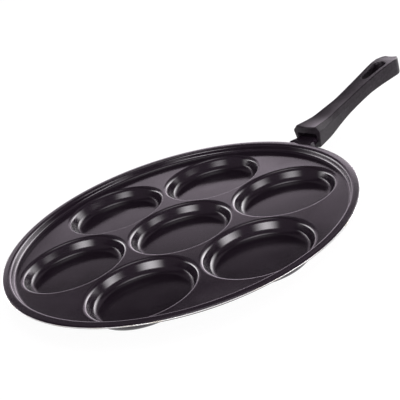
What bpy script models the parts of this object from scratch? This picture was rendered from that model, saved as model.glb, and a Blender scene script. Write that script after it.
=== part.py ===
"""Pancake pan: one pressed steel sheet with seven round wells, a welded bracket and a moulded handle.

Lengths are metres, angles radians. The origin is the middle of the centre well's underside, on which the
pan rests. +X runs along the handle and +Z is up.
"""

import math
from collections import namedtuple

import bmesh
import bpy
from mathutils import Vector
from mathutils.geometry import delaunay_2d_cdt

MM = 0.001

# Fits between the pieces
SEAT_GAP = 0.3 * MM  # left between two faces that touch on the real pan
SCREW_GAP = 0.3 * MM  # round a screw's shank or head, and round the insert

# The pressed sheet and its wells
SHEET = 1.0 * MM
WELLS_AROUND = 6  # wells in the ring round the centre one
WELL_RADIUS = 41.0 * MM  # where the flat web ends at a well
WELL_DEPTH = 10.0 * MM
WELL_WALL_LEAN = math.radians(20)  # from upright
WELL_LIP_FILLET = 3.5 * MM
WELL_FLOOR_FILLET = 5.5 * MM
WELL_GAP = 0.35 * MM  # flat web left between two neighbouring wells
WEB_MARGIN = 1.95 * MM  # flat web left between the outer wells and the rim

# The rim: a low wall, a flat flange and a trimmed edge that dips
RIM_HEIGHT = 6.25 * MM
RIM_WALL_LEAN = math.radians(3)  # from upright
RIM_FOOT_FILLET = 2.5 * MM
RIM_CREST_FILLET = 2.2 * MM
FLANGE_WIDTH = 5.9 * MM
FLANGE_FALL = 0.36 * MM  # outwards, across its width
EDGE_RUN = 1.1 * MM
EDGE_DROP = 1.05 * MM
EDGE_FILLET = 1.5 * MM
EDGE_CUT_LEAN = math.radians(15)  # of the trimmed face, from upright

# The bracket: a tab under the web, a wall up behind the rim and a channel into the handle
BRACKET_SHEET = 1.5 * MM
BRACKET_BEND = 1.0 * MM  # inside radius of its bends
TAB_LENGTH = 25.0 * MM  # under the web, inwards from the rim's wall
TAB_HALF_ANGLE = math.radians(4.6)  # of the tab, seen from the pan's middle
CHANNEL_ROOT_HALF_WIDTH = 12.2 * MM
CHANNEL_ROOT_DEPTH = 7.0 * MM
CHANNEL_LEAD = 0.8 * MM  # level stretch of the channel outside the rim
RAMP_LENGTH = 2.2 * MM  # along which the channel then rises
CHANNEL_RISE = 1.2 * MM  # of the tongue above the channel's root
NECK_REACH = 9.0 * MM  # from the rim's edge to where the channel has narrowed
NECK_HALF_WIDTH = 10.4 * MM
NECK_DEPTH = 5.0 * MM
TONGUE_HALF_WIDTH = 9.8 * MM  # at the handle's mouth
TONGUE_DEPTH = 4.0 * MM
TONGUE_LENGTH = 19.5 * MM  # inside the handle
TIP_HALF_WIDTH = 7.0 * MM
TIP_DEPTH = 2.6 * MM  # of the tongue's turned-down edges past the lead-in

# The handle's outside. Its reaches run from the head's front face and its heights from the tongue's top
HEAD_STANDOFF = 13.0 * MM  # from the rim's edge to the head's front face
HEAD_FRONT_ROUND = 1.0 * MM
TOP_EDGE_ROUND = 0.9 * MM
CREASE_ROUND = 1.6 * MM
FOOT_EDGE_ROUND = 1.5 * MM
LARGEST_ROUND = 0.45  # most of a half width that one edge's round takes
HEAD_DISH = 1.0 * MM  # hollow of the top face at the head
GRIP_DISH = 0.5 * MM  # and along the grip
END_LENGTH = 11.4 * MM  # of the half ellipse that ends the handle
END_ROUND = 3.2 * MM  # how far its tip is rounded back along the handle
END_TOP_DROP = 3.8 * MM  # and down from the top
END_FOOT_LIFT = 1.8 * MM  # and up from the foot
END_CAP_HALF_WIDTH = 1.6 * MM

Section = namedtuple("Section", "reach top_half side_half foot_half top crease foot")
HEAD = Section(0.0, 10.5 * MM, 14.8 * MM, 12.0 * MM, 9.4 * MM, 5.0 * MM, -9.0 * MM)
SHOULDER = Section(19 * MM, 8.7 * MM, 11.4 * MM, 9.3 * MM, 9.2 * MM, 5.6 * MM, -7.2 * MM)
THROAT = Section(34 * MM, 8.0 * MM, 9.0 * MM, 8.0 * MM, 11.1 * MM, 6.4 * MM, -3.4 * MM)
WAIST = Section(50 * MM, 7.45 * MM, 7.75 * MM, 7.3 * MM, 13.3 * MM, 8.0 * MM, 0.5 * MM)
PALM = Section(76 * MM, 8.1 * MM, 8.3 * MM, 7.9 * MM, 18.2 * MM, 12.6 * MM, 5.8 * MM)
SWELL = Section(92 * MM, 9.15 * MM, 9.35 * MM, 8.95 * MM, 21.0 * MM, 14.8 * MM, 7.7 * MM)
BULGE = Section(106 * MM, 10.5 * MM, 10.6 * MM, 10.3 * MM, 23.0 * MM, 16.2 * MM, 8.7 * MM)
TAIL = Section(114.2 * MM, 10.8 * MM, 10.9 * MM, 10.6 * MM, 23.6 * MM, 16.6 * MM, 8.9 * MM)
HANDLE_SECTIONS = (HEAD, SHOULDER, THROAT, WAIST, PALM, SWELL, BULGE, TAIL)

# The mouth in the handle's head, in three steps round the tongue
RECESS_SIDE = 0.7 * MM  # wider than the tongue on each side
RECESS_TOP = 3.2 * MM  # above the tongue
RECESS_DEPTH = 2.0 * MM
LEAD_IN_SIDE = 0.6 * MM
LEAD_IN_TOP = 2.0 * MM
LEAD_IN_DEPTH = 5.0 * MM
MOUTH_CORNER = 0.8 * MM
POCKET_END_GAP = 0.5 * MM  # behind the tongue's tip

# The hanging slot: a teardrop through the grip with a sloping border on top
SLOT_TIP_REACH = 85.0 * MM
SLOT_ROUND_REACH = 105.3 * MM
SLOT_TIP_RADIUS = 3.4 * MM
SLOT_ROUND_RADIUS = 5.4 * MM
SLOT_BORDER_WIDTH = 0.8 * MM
SLOT_BORDER_DEPTH = 1.6 * MM

# The fixing: a screw from below, its washer, and an insert moulded into the head
SCREW_REACH = 10.0 * MM
SCREW_RADIUS = 2.0 * MM
SCREW_TIP_CHAMFER = 0.5 * MM
SCREW_IN_INSERT = 4.6 * MM
SCREW_HEAD_RADIUS = 4.0 * MM
SCREW_HEAD_HEIGHT = 2.5 * MM
SCREW_HEAD_CROWN = 1.1 * MM  # height of the head's rounded part
WASHER_RADIUS = 3.8 * MM
WASHER_THICKNESS = 0.9 * MM
WASHER_SLIT = math.radians(14)
HEAD_FLOOR = 1.2 * MM  # plastic between the counterbore and the pocket
INSERT_RADIUS = 3.2 * MM
INSERT_LENGTH = 5.0 * MM
INSERT_GROOVE = 0.4 * MM  # depth of the groove that keys it into the plastic

# How finely the round shapes are cut
WELL_SEGMENTS = 32
RIM_SEGMENTS = 72
TAB_SEGMENTS = 6
FILLET_STEPS = 3
SMALL_FILLET_STEPS = 2
HANDLE_STEP = 5.0 * MM
SLOT_STEPS = 10
END_STEPS = 6
SCREW_SEGMENTS = 24
SMOOTH_BELOW = math.radians(32)


def clear_scene():
    for obj in list(bpy.data.objects):
        bpy.data.objects.remove(obj, do_unlink=True)


def make_material(name, colour, roughness, metallic):
    material = bpy.data.materials.new(name)
    material.use_nodes = True
    shader = material.node_tree.nodes["Principled BSDF"]
    shader.inputs["Base Color"].default_value = (*colour, 1.0)
    shader.inputs["Roughness"].default_value = roughness
    shader.inputs["Metallic"].default_value = metallic
    return material


def make_object(name, bm, material=None):
    """The bmesh as an object with its faces turned outwards, smooth except at sharp edges."""
    bmesh.ops.recalc_face_normals(bm, faces=bm.faces)
    mesh = bpy.data.meshes.new(name)
    bm.to_mesh(mesh)
    bm.free()
    mesh.shade_smooth()
    mesh.set_sharp_from_angle(angle=SMOOTH_BELOW)
    obj = bpy.data.objects.new(name, mesh)
    bpy.context.scene.collection.objects.link(obj)
    if material:
        mesh.materials.append(material)
    return obj


def combine(target, helper, operation):
    """A Boolean of the target with a helper shape, which stays out of the render."""
    helper.hide_render = True
    helper.display_type = "WIRE"
    modifier = target.modifiers.new(helper.name, "BOOLEAN")
    modifier.operation = operation
    modifier.solver = "EXACT"
    modifier.object = helper


# Lines in a section plane, as points with the normal to their left


def turned(vector, angle):
    c = math.cos(angle)
    s = math.sin(angle)
    return Vector((vector.x * c - vector.y * s, vector.x * s + vector.y * c))


def rounded_line(corners, radii, steps):
    """Points and left-hand normals along straight runs between the corners, each inner one filleted."""
    corners = [Vector(corner) for corner in corners]
    along = [(b - a).normalized() for a, b in zip(corners, corners[1:])]
    samples = [(corners[0], turned(along[0], math.pi / 2))]
    for corner, before, after, radius in zip(corners[1:], along, along[1:], radii):
        turn = math.atan2(before.cross(after), before.dot(after))
        reach = radius * math.tan(abs(turn) / 2)
        normal = turned(before, math.pi / 2)
        inward = math.copysign(radius, turn)
        middle = corner - before * reach + normal * inward
        for step in range(steps + 1):
            tilted = turned(normal, turn * step / steps)
            samples.append((middle - tilted * inward, tilted))
    samples.append((corners[-1], turned(along[-1], math.pi / 2)))
    return samples


def offset_line(samples, distance):
    """The line's points moved to its right by the distance."""
    return [point - normal * distance for point, normal in samples]


# Rings of points and the faces between them


def circle_points(centre, radius, height, count):
    angles = [2 * math.pi * i / count for i in range(count)]
    return [Vector((centre.x + radius * math.cos(a), centre.y + radius * math.sin(a), height)) for a in angles]


def add_ring(bm, points):
    return [bm.verts.new(point) for point in points]


def bridge(bm, first, second):
    """A closed band of four-sided faces between two rings of as many points."""
    count = len(first)
    for i in range(count):
        j = (i + 1) % count
        bm.faces.new((first[i], first[j], second[j], second[i]))


def loft(bm, rings_of_points):
    """A closed solid through the rings, flat at both ends."""
    rings = [add_ring(bm, points) for points in rings_of_points]
    for first, second in zip(rings, rings[1:]):
        bridge(bm, first, second)
    bm.faces.new(rings[0])
    bm.faces.new(rings[-1])


def lathe(bm, centre, profile, count):
    """A closed solid turned about an upright axis, from (radius, height) pairs that run upwards."""
    loft(bm, [circle_points(centre, radius, height, count) for radius, height in profile])


# The pressed sheet


def ring_radius():
    """Where the outer wells' centres lie: clear of the centre well and of each other."""
    pitch = 2 * WELL_RADIUS + WELL_GAP
    return max(pitch, pitch / (2 * math.sin(math.pi / WELLS_AROUND)))


def well_centres():
    """The middle of each well. The handle lies between two of them."""
    centres = [Vector((0.0, 0.0))]
    for i in range(WELLS_AROUND):
        angle = 2 * math.pi * (i + 0.5) / WELLS_AROUND
        centres.append(Vector((ring_radius() * math.cos(angle), ring_radius() * math.sin(angle))))
    return centres


def web_top():
    return WELL_DEPTH + SHEET


def well_line():
    """Upper side of a well from its flat floor out to the web, as (radius, height) samples."""
    lip = WELL_RADIUS - WELL_LIP_FILLET * math.tan((math.pi / 2 - WELL_WALL_LEAN) / 2)
    foot = lip - WELL_DEPTH * math.tan(WELL_WALL_LEAN)
    corners = [(0.0, SHEET), (foot, SHEET), (lip, web_top()), (WELL_RADIUS, web_top())]
    line = rounded_line(corners, [WELL_FLOOR_FILLET, WELL_LIP_FILLET], FILLET_STEPS)
    return line[1:-1]


def web_radius():
    return ring_radius() + WELL_RADIUS + WEB_MARGIN


def rim_corners():
    """Foot, crest, shoulder and edge of the rim's upper side, before its fillets."""
    foot = web_radius() + RIM_FOOT_FILLET * math.tan((math.pi / 2 - RIM_WALL_LEAN) / 2)
    crest = foot + RIM_HEIGHT * math.tan(RIM_WALL_LEAN)
    top = web_top() + RIM_HEIGHT
    shoulder = crest + FLANGE_WIDTH
    return [(foot, web_top()), (crest, top), (shoulder, top - FLANGE_FALL), (shoulder + EDGE_RUN, top - EDGE_DROP)]


def rim_line():
    """Upper side of the rim from the web out to the trimmed edge."""
    corners = [(web_radius() - WEB_MARGIN, web_top()), *rim_corners()]
    fillets = [RIM_FOOT_FILLET, RIM_CREST_FILLET, EDGE_FILLET]
    return rounded_line(corners, fillets, FILLET_STEPS)[1:]


def rim_radius():
    return rim_corners()[-1][0]


def edge_underside():
    """Where the trimmed face meets the sheet's underside."""
    edge, normal = rim_line()[-1]
    dip = math.atan2(EDGE_DROP - FLANGE_FALL, EDGE_RUN)
    slant = SHEET * math.tan(dip - EDGE_CUT_LEAN)
    return edge - normal * SHEET + turned(normal, -math.pi / 2) * slant


def web_faces(bm, foot_ring, mouth_rings):
    """Triangles that fill the flat web between the rim's foot and the wells' mouths."""
    verts = []
    edges = []
    owner = []
    for k, loop in enumerate([foot_ring, *mouth_rings]):
        start = len(verts)
        count = len(loop)
        verts += loop
        owner += [k] * count
        edges += [(start + i, start + (i + 1) % count) for i in range(count)]
    flat = [Vector((vert.co.x, vert.co.y)) for vert in verts]
    inside = 1
    result = delaunay_2d_cdt(flat, edges, [], inside, 1e-7)
    source = [found[0] for found in result[3]]
    for face in result[2]:
        corners = [source[i] for i in face]
        wells = {owner[i] for i in corners}
        if len(wells) > 1 or wells == {0}:
            bm.faces.new([verts[i] for i in corners])


def sheet_side(bm, below):
    """One side of the pressed sheet, at a distance below its upper side. Returns the ring at its edge."""
    mouths = []
    for centre in well_centres():
        line = offset_line(well_line(), below)
        rings = [add_ring(bm, circle_points(centre, p.x, p.y, WELL_SEGMENTS)) for p in line]
        bm.faces.new(rings[0])
        for first, second in zip(rings, rings[1:]):
            bridge(bm, first, second)
        mouths.append(rings[-1])
    line = offset_line(rim_line(), below)
    if below:
        line[-1] = edge_underside()
    middle = Vector((0.0, 0.0))
    rings = [add_ring(bm, circle_points(middle, p.x, p.y, RIM_SEGMENTS)) for p in line]
    for first, second in zip(rings, rings[1:]):
        bridge(bm, first, second)
    web_faces(bm, rings[0], mouths)
    return rings[-1]


def make_pan_body():
    bm = bmesh.new()
    upper_edge = sheet_side(bm, 0.0)
    lower_edge = sheet_side(bm, SHEET)
    bridge(bm, upper_edge, lower_edge)
    coat = make_material("nonstick_coat", (0.020, 0.017, 0.020), 0.35, 0.0)
    return make_object("pan_body", bm, coat)


# The bracket


def channel_top():
    """Height of the channel's root, just clear of the rim's edge above it."""
    return edge_underside().y - SEAT_GAP


def tongue_top():
    return channel_top() + CHANNEL_RISE


def head_front():
    return rim_radius() + HEAD_STANDOFF


def tongue_taper():
    """Angle of the tongue's sides to the handle's length."""
    return math.atan2(TONGUE_HALF_WIDTH - TIP_HALF_WIDTH, TONGUE_LENGTH)


def tongue_half_width(reach):
    return TONGUE_HALF_WIDTH - reach * math.tan(tongue_taper())


def tongue_depth(reach):
    """Depth of the tongue's turned-down edges, which end shallow past the mouth's lead-in."""
    t = min(max(reach / LEAD_IN_DEPTH, 0.0), 1.0)
    return TONGUE_DEPTH + (TIP_DEPTH - TONGUE_DEPTH) * t


def tab_outline():
    """Section of the welded part: along under the web, up behind the rim's wall and out below the flange."""
    clear = SHEET + SEAT_GAP
    foot_radius, foot_height = rim_corners()[0]
    low = foot_height - clear
    wall = foot_radius + clear / math.cos(RIM_WALL_LEAN)
    lean = math.tan(RIM_WALL_LEAN)
    top = channel_top() - BRACKET_SHEET * 0.1
    corners = [
        (foot_radius - TAB_LENGTH, low),
        (wall - clear * lean, low),
        (wall + (top - foot_height) * lean, top),
        (rim_radius(), top),
    ]
    line = rounded_line(corners, [2 * BRACKET_BEND, BRACKET_BEND + BRACKET_SHEET], FILLET_STEPS)
    outer = offset_line(line, BRACKET_SHEET)
    return offset_line(line, 0.0) + outer[::-1]


def make_tab():
    """The welded part, bent to the rim's curve."""
    bm = bmesh.new()
    rings = []
    for step in range(TAB_SEGMENTS + 1):
        angle = TAB_HALF_ANGLE * (2 * step / TAB_SEGMENTS - 1)
        across = Vector((math.cos(angle), math.sin(angle), 0.0))
        rings.append([across * p.x + Vector((0.0, 0.0, p.y)) for p in tab_outline()])
    loft(bm, rings)
    return make_object("bracket_tab", bm)


def channel_ring(x, half_width, top, depth):
    """The channel's section at x: a plate with its two sides turned down."""
    outer = rounded_line(
        [(-half_width, top - depth), (-half_width, top), (half_width, top), (half_width, top - depth)],
        [BRACKET_BEND + BRACKET_SHEET] * 2,
        FILLET_STEPS,
    )
    inner = offset_line(outer, BRACKET_SHEET)
    line = offset_line(outer, 0.0) + inner[::-1]
    return [Vector((x, p.x, p.y)) for p in line]


def make_channel():
    """The channel from just outside the rim's wall to the tongue's tip inside the handle."""
    root = channel_top()
    top = tongue_top()
    lead = rim_radius() + CHANNEL_LEAD
    stations = [
        (rim_corners()[1][0] + 2 * BRACKET_SHEET, CHANNEL_ROOT_HALF_WIDTH, root, CHANNEL_ROOT_DEPTH),
        (lead, CHANNEL_ROOT_HALF_WIDTH, root, CHANNEL_ROOT_DEPTH),
        (lead + RAMP_LENGTH, CHANNEL_ROOT_HALF_WIDTH, top, CHANNEL_ROOT_DEPTH),
        (rim_radius() + NECK_REACH, NECK_HALF_WIDTH, top, NECK_DEPTH),
        (head_front(), TONGUE_HALF_WIDTH, top, TONGUE_DEPTH),
        (head_front() + LEAD_IN_DEPTH, tongue_half_width(LEAD_IN_DEPTH), top, TIP_DEPTH),
        (head_front() + TONGUE_LENGTH, TIP_HALF_WIDTH, top, TIP_DEPTH),
    ]
    bm = bmesh.new()
    loft(bm, [channel_ring(*station) for station in stations])
    return make_object("bracket_channel", bm)


def make_bracket():
    bracket = make_channel()
    bracket.name = "handle_bracket"
    bracket.data.materials.append(make_material("bracket_coat", (0.030, 0.028, 0.030), 0.4, 0.3))
    combine(bracket, make_tab(), "UNION")
    bm = bmesh.new()
    drill = [(SCREW_RADIUS + SCREW_GAP, tongue_top() - TONGUE_DEPTH), (SCREW_RADIUS + SCREW_GAP, tongue_top() + MM)]
    lathe(bm, screw_centre(), drill, SCREW_SEGMENTS)
    combine(bracket, make_object("tongue_hole", bm), "DIFFERENCE")
    return bracket


# The handle


def smooth_between(rows, reach):
    """A section between the named ones: each of its sizes follows a smooth curve through theirs."""
    reach = min(max(reach, rows[0].reach), rows[-1].reach)
    i = max(k for k in range(len(rows) - 1) if rows[k].reach <= reach)
    span = rows[i + 1].reach - rows[i].reach
    t = (reach - rows[i].reach) / span

    def slope(k, field):
        before = rows[max(k - 1, 0)]
        after = rows[min(k + 1, len(rows) - 1)]
        return (getattr(after, field) - getattr(before, field)) / (after.reach - before.reach)

    values = []
    for field in Section._fields[1:]:
        a = getattr(rows[i], field)
        b = getattr(rows[i + 1], field)
        bend_a = slope(i, field) * span
        bend_b = slope(i + 1, field) * span
        rest = 3 * (b - a) - 2 * bend_a - bend_b
        last = 2 * (a - b) + bend_a + bend_b
        values.append(a + bend_a * t + rest * t * t + last * t * t * t)
    return Section(reach, *values)


def shrunk(section, narrower, lower, raised):
    """The section with its half widths and heights drawn in."""
    return section._replace(
        top_half=section.top_half - narrower,
        side_half=section.side_half - narrower,
        foot_half=section.foot_half - narrower,
        top=section.top - lower,
        foot=section.foot + raised,
    )


def dish_depth(reach):
    """Hollow of the top face, from the head's to the grip's along the throat."""
    t = min(max(reach / THROAT.reach, 0.0), 1.0)
    return HEAD_DISH + (GRIP_DISH - HEAD_DISH) * t


def section_ring(section, reach):
    """Points round the handle: a dished top, sides that widen to a crease and close in to a rounded foot."""
    dish = dish_depth(reach)
    half = [
        (section.top_half, section.top, TOP_EDGE_ROUND),
        (section.side_half, section.crease, CREASE_ROUND),
        (section.foot_half, section.foot, FOOT_EDGE_ROUND),
    ]
    mirrored = [(-y, z, radius) for y, z, radius in reversed(half)]
    dished = [(section.top_half * y, section.top - dish * (1 - y * y), 0.0) for y in (-0.5, 0.0, 0.5)]
    corners = dished + half + mirrored
    places = [(y, z) for y, z, _ in corners]
    around = [places[-1], *places, places[0]]
    most = section.top_half * LARGEST_ROUND
    line = rounded_line(around, [min(radius, most) for _, _, radius in corners], SMALL_FILLET_STEPS)[1:-1]
    points = []
    for k, (_, _, radius) in enumerate(corners):
        group = line[k * (SMALL_FILLET_STEPS + 1) : (k + 1) * (SMALL_FILLET_STEPS + 1)]
        points += [point for point, _ in group] if radius else [group[0][0]]
    x = head_front() + reach
    return [Vector((x, p.x, tongue_top() + p.y)) for p in points]


def handle_rings():
    rings = []
    for step in range(FILLET_STEPS):
        angle = math.pi / 2 * step / FILLET_STEPS
        inset = HEAD_FRONT_ROUND * (1 - math.sin(angle))
        reach = HEAD_FRONT_ROUND * (1 - math.cos(angle))
        rings.append(section_ring(shrunk(smooth_between(HANDLE_SECTIONS, reach), inset, inset, inset), reach))
    count = round((TAIL.reach - HEAD_FRONT_ROUND) / HANDLE_STEP)
    for step in range(count + 1):
        reach = HEAD_FRONT_ROUND + (TAIL.reach - HEAD_FRONT_ROUND) * step / count
        rings.append(section_ring(smooth_between(HANDLE_SECTIONS, reach), reach))
    return rings + end_rings()


def end_rings():
    """The handle's round end: a half ellipse in plan, its edges rounded over at the tip."""
    flat = END_LENGTH - END_ROUND
    steps = [(flat * step / END_STEPS, 0.0) for step in range(1, END_STEPS + 1)]
    for step in range(1, END_STEPS + 1):
        angle = math.pi / 2 * step / END_STEPS
        steps.append((flat + END_ROUND * math.sin(angle), 1 - math.cos(angle)))
    rings = []
    for past, rounded in steps:
        share = math.sqrt(max(1 - (past / END_LENGTH) ** 2, 0.0))
        share = max(share, END_CAP_HALF_WIDTH / TAIL.side_half)
        narrowed = TAIL._replace(
            top_half=TAIL.top_half * share,
            side_half=TAIL.side_half * share,
            foot_half=TAIL.foot_half * share,
            top=TAIL.top - END_TOP_DROP * rounded,
            foot=TAIL.foot + END_FOOT_LIFT * rounded,
        )
        rings.append(section_ring(narrowed, TAIL.reach + past))
    return rings


def mouth_ring(reach, side, above, below):
    """A rounded oblong round the tongue's section, wider and higher than it by the given margins."""
    half = tongue_half_width(reach) + side / math.cos(tongue_taper())
    top = tongue_top() + above
    floor = tongue_top() - tongue_depth(reach) - below
    corners = [(-half, floor), (half, floor), (half, top), (-half, top)]
    around = [corners[-1], *corners, corners[0]]
    line = rounded_line(around, [MOUTH_CORNER] * 4, SMALL_FILLET_STEPS)[1:-1]
    return [Vector((head_front() + reach, p.x, p.y)) for p, _ in line]


def make_mouth_cutter():
    """The head's mouth: a shallow recess, a lead-in and the pocket that holds the tongue."""
    recess = (RECESS_SIDE, RECESS_TOP, RECESS_SIDE)
    lead_in = (LEAD_IN_SIDE, LEAD_IN_TOP, LEAD_IN_SIDE)
    pocket = (SEAT_GAP, SEAT_GAP, SEAT_GAP)
    rings = [
        mouth_ring(-RECESS_DEPTH, *recess),
        mouth_ring(RECESS_DEPTH, *recess),
        mouth_ring(RECESS_DEPTH, *lead_in),
        mouth_ring(LEAD_IN_DEPTH, *lead_in),
        mouth_ring(LEAD_IN_DEPTH, *pocket),
        mouth_ring(TONGUE_LENGTH + POCKET_END_GAP, *pocket),
    ]
    bm = bmesh.new()
    loft(bm, rings)
    return make_object("mouth_cutter", bm)


def teardrop(margin):
    """The slot's outline in plan, widened by the margin: two arcs and the straight runs between them."""
    tip = SLOT_TIP_RADIUS + margin
    wide = SLOT_ROUND_RADIUS + margin
    spread = math.pi / 2 + math.asin((wide - tip) / (SLOT_ROUND_REACH - SLOT_TIP_REACH))
    points = []
    for step in range(SLOT_STEPS + 1):
        angle = spread * (2 * step / SLOT_STEPS - 1)
        points.append((SLOT_ROUND_REACH + wide * math.cos(angle), wide * math.sin(angle)))
    for step in range(SLOT_STEPS + 1):
        angle = spread + 2 * (math.pi - spread) * step / SLOT_STEPS
        points.append((SLOT_TIP_REACH + tip * math.cos(angle), tip * math.sin(angle)))
    return points


def make_slot_cutter():
    """The hanging slot, upright through the grip, with its border sloping in from the top face."""

    def ring(margin, depth):
        points = []
        for reach, y in teardrop(margin):
            top = smooth_between(HANDLE_SECTIONS, reach).top - GRIP_DISH
            points.append(Vector((head_front() + reach, y, tongue_top() + top - depth)))
        return points

    through = TAIL.top - PALM.foot + SLOT_BORDER_DEPTH
    slope = SLOT_BORDER_WIDTH / SLOT_BORDER_DEPTH
    above = GRIP_DISH + SLOT_BORDER_DEPTH
    bm = bmesh.new()
    loft(bm, [ring(SLOT_BORDER_WIDTH + above * slope, -above), ring(0.0, SLOT_BORDER_DEPTH), ring(0.0, through)])
    return make_object("slot_cutter", bm)


def screw_centre():
    return Vector((head_front() + SCREW_REACH, 0.0))


def pocket_floor():
    return tongue_top() - TIP_DEPTH - SEAT_GAP


def washer_seat():
    """Height of the counterbore's end, under the pocket's floor."""
    return pocket_floor() - HEAD_FLOOR


def insert_foot():
    """The insert's lower face lies flush with the pocket's roof."""
    return tongue_top() + SEAT_GAP


def make_fixing_cutter():
    """Counterbore, screw hole and the insert's blind hole, on one axis."""
    below = tongue_top() + 2 * HEAD.foot
    counterbore = SCREW_HEAD_RADIUS + SCREW_GAP
    hole = SCREW_RADIUS + SCREW_GAP
    blind = INSERT_RADIUS + SCREW_GAP
    inside = tongue_top() - BRACKET_SHEET / 2
    profile = [
        (counterbore, below),
        (counterbore, washer_seat()),
        (hole, washer_seat()),
        (hole, inside),
        (blind, inside),
        (blind, insert_foot() + INSERT_LENGTH + SEAT_GAP),
    ]
    bm = bmesh.new()
    lathe(bm, screw_centre(), profile, SCREW_SEGMENTS)
    return make_object("fixing_cutter", bm)


def make_handle():
    bm = bmesh.new()
    loft(bm, handle_rings())
    handle = make_object("handle", bm, make_material("phenolic", (0.018, 0.016, 0.018), 0.38, 0.0))
    combine(handle, make_mouth_cutter(), "DIFFERENCE")
    combine(handle, make_fixing_cutter(), "DIFFERENCE")
    combine(handle, make_slot_cutter(), "DIFFERENCE")
    return handle


# The fixing


def make_insert():
    """A short threaded tube with a groove round its middle."""
    foot = insert_foot()
    waist = INSERT_RADIUS - INSERT_GROOVE
    bore = SCREW_RADIUS + SCREW_GAP
    outside = [
        (INSERT_RADIUS, foot),
        (INSERT_RADIUS, foot + INSERT_LENGTH * 0.35),
        (waist, foot + INSERT_LENGTH * 0.45),
        (waist, foot + INSERT_LENGTH * 0.55),
        (INSERT_RADIUS, foot + INSERT_LENGTH * 0.65),
        (INSERT_RADIUS, foot + INSERT_LENGTH),
    ]
    inside = [(bore, foot + INSERT_LENGTH), (bore, foot)]
    bm = bmesh.new()
    rings = [add_ring(bm, circle_points(screw_centre(), r, z, SCREW_SEGMENTS)) for r, z in outside + inside]
    for first, second in zip(rings, rings[1:] + rings[:1]):
        bridge(bm, first, second)
    return make_object("thread_insert", bm, make_material("brass", (0.65, 0.45, 0.16), 0.35, 1.0))


def make_washer():
    """A split spring washer, closed flat under the screw's head."""
    top = washer_seat() - SEAT_GAP
    low = top - WASHER_THICKNESS
    inner = SCREW_RADIUS + SCREW_GAP
    section = [(inner, low), (WASHER_RADIUS, low), (WASHER_RADIUS, top), (inner, top)]
    centre = screw_centre()
    rings = []
    for step in range(SCREW_SEGMENTS + 1):
        angle = WASHER_SLIT / 2 + (2 * math.pi - WASHER_SLIT) * step / SCREW_SEGMENTS
        x = math.cos(angle)
        y = math.sin(angle)
        rings.append([Vector((centre.x + r * x, centre.y + r * y, z)) for r, z in section])
    bm = bmesh.new()
    loft(bm, rings)
    return make_object("lock_washer", bm, make_material("spring_steel", (0.42, 0.42, 0.43), 0.35, 1.0))


def make_screw():
    """A pan-head machine screw, its head below the handle and its tip in the insert."""
    head_top = washer_seat() - 2 * SEAT_GAP - WASHER_THICKNESS
    head_low = head_top - SCREW_HEAD_HEIGHT
    tip = insert_foot() + SCREW_IN_INSERT
    crown = []
    for step in range(FILLET_STEPS + 1):
        angle = math.pi / 2 * step / FILLET_STEPS
        radius = SCREW_HEAD_RADIUS - SCREW_HEAD_CROWN * (1 - math.sin(angle))
        crown.append((radius, head_low + SCREW_HEAD_CROWN * (1 - math.cos(angle))))
    shank = [
        (SCREW_HEAD_RADIUS, head_top),
        (SCREW_RADIUS, head_top),
        (SCREW_RADIUS, tip - SCREW_TIP_CHAMFER),
        (SCREW_RADIUS - SCREW_TIP_CHAMFER, tip),
    ]
    bm = bmesh.new()
    lathe(bm, screw_centre(), crown + shank, SCREW_SEGMENTS)
    return make_object("handle_screw", bm, make_material("zinc_plate", (0.60, 0.60, 0.61), 0.3, 1.0))


def main():
    clear_scene()
    make_pan_body()
    make_bracket()
    make_handle()
    make_insert()
    make_washer()
    make_screw()


main()
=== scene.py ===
# %% [markdown]
# A pancake pan with seven wells, seen from its near left side. The imported CAD model is the frame: it says where
# every piece lies, and this lesson dresses it. Three pieces are seen from above: the pressed sheet, the bracket
# and the moulded handle. Three more hold the handle on and are seen from below: a screw, its washer and the
# threaded insert.

# %% The frame: the CAD model's pieces, moved into world space
import math
from collections import namedtuple
from functools import partialmethod

import bmesh
import bpy
from mathutils import Matrix, Vector


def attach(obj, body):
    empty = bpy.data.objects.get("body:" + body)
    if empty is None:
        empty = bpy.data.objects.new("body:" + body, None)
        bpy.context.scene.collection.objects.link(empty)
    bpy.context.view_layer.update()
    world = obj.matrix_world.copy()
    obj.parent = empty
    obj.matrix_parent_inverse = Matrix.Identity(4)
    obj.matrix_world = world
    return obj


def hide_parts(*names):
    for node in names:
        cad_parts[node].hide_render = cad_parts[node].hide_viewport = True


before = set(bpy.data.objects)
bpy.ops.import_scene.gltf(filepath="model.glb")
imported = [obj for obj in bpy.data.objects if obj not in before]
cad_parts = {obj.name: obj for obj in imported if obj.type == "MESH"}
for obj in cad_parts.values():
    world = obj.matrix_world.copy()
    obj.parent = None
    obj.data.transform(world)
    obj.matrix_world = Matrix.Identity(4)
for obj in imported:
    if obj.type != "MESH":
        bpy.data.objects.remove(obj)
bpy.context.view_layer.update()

MM = 0.001

# %% [markdown]
# Sizes are written once, in metres, and are the ones the pan was drawn to. The ones here also place other pieces,
# and the rest are the dials of each piece. The web is the flat part between the wells. All pieces stand in one
# frame, with the origin under the centre well and the handle along +X.

# %% Sizes of the pressed sheet
SHEET = 1.0 * MM
WELL_RADIUS = 41.0 * MM
WELL_DEPTH = 10.0 * MM
WEB_BETWEEN_WELLS = 0.35 * MM
WEB_OUTSIDE_WELLS = 1.95 * MM
RING_RADIUS = 2 * WELL_RADIUS + WEB_BETWEEN_WELLS
WEB_TOP = WELL_DEPTH + SHEET
WEB_RADIUS = RING_RADIUS + WELL_RADIUS + WEB_OUTSIDE_WELLS
RIM_WALL_LEAN = math.radians(3)
print("wells lie on a circle of", round(RING_RADIUS / MM, 2), "mm; the web ends at", round(WEB_RADIUS / MM, 2), "mm")

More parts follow.
